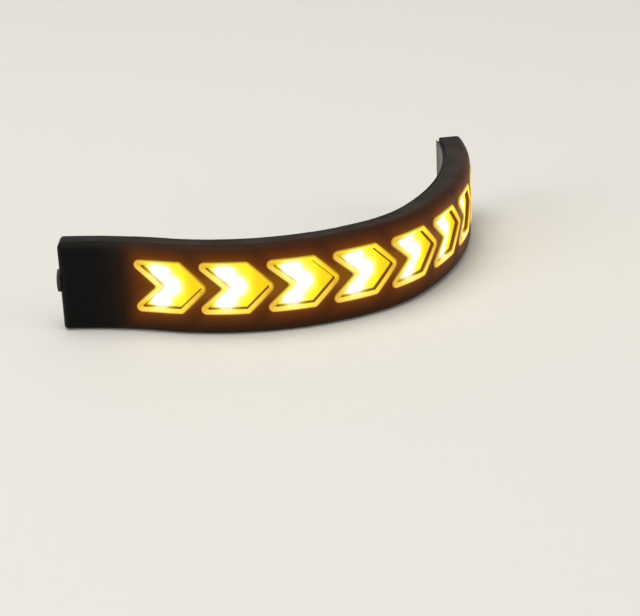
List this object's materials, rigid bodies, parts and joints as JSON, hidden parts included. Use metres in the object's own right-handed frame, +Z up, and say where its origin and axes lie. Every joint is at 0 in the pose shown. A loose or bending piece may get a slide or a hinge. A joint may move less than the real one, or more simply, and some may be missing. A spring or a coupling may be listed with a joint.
{
  "type": "daytime running light strip",
  "caption": "Flexible curved lamp strip standing on its long edge, with arrow-shaped light windows in a row, a cable inlet in one end and adhesive tape on the back.",
  "frame": {"origin": "middle of the footprint, on the lower long edge's plane", "axes": "+Z up across the strip's height, +X to the viewer's right in the picture, +Y away from the viewer"},
  "size_m": [0.1147, 0.0891, 0.025],
  "materials": {
    "silicone_black": "satin moulded silicone",
    "silicone_lens": "clear silicone lit from behind",
    "mask_black": "matt",
    "board": "flexible printed circuit, black cover film",
    "led_amber": "phosphor in a white package",
    "led_white": "phosphor in a white package",
    "chip_black": "moulded",
    "capacitor_tan": "ceramic",
    "solder": "tinned",
    "filling": "cast silicone",
    "foam": "acrylic foam tape",
    "film": "clear peel-off film on black foam"
  },
  "bodies": {
    "root": {"housing": "silicone_black", "cable_gland": "silicone_black", "lens_1": "silicone_lens", "lens_2": "silicone_lens", "lens_3": "silicone_lens", "lens_4": "silicone_lens", "lens_5": "silicone_lens", "lens_6": "silicone_lens", "lens_7": "silicone_lens", "lens_8": "silicone_lens", "light_mask": "mask_black", "circuit_board": "board", "amber_leds_1": "led_amber", "amber_leds_2": "led_amber", "amber_leds_3": "led_amber", "amber_leds_4": "led_amber", "amber_leds_5": "led_amber", "amber_leds_6": "led_amber", "amber_leds_7": "led_amber", "amber_leds_8": "led_amber", "white_leds_1": "led_white", "white_leds_2": "led_white", "white_leds_3": "led_white", "white_leds_4": "led_white", "white_leds_5": "led_white", "white_leds_6": "led_white", "white_leds_7": "led_white", "white_leds_8": "led_white", "resistors_1": "chip_black", "resistors_2": "chip_black", "resistors_3": "chip_black", "resistors_4": "chip_black", "resistors_5": "chip_black", "resistors_6": "chip_black", "resistors_7": "chip_black", "resistors_8": "chip_black", "flow_chip": "chip_black", "capacitor": "capacitor_tan", "diode": "chip_black", "solder_pads": "solder", "back_fill": "filling", "foam_tape": "foam", "release_liner": "film"}
  },
  "joints": []
}
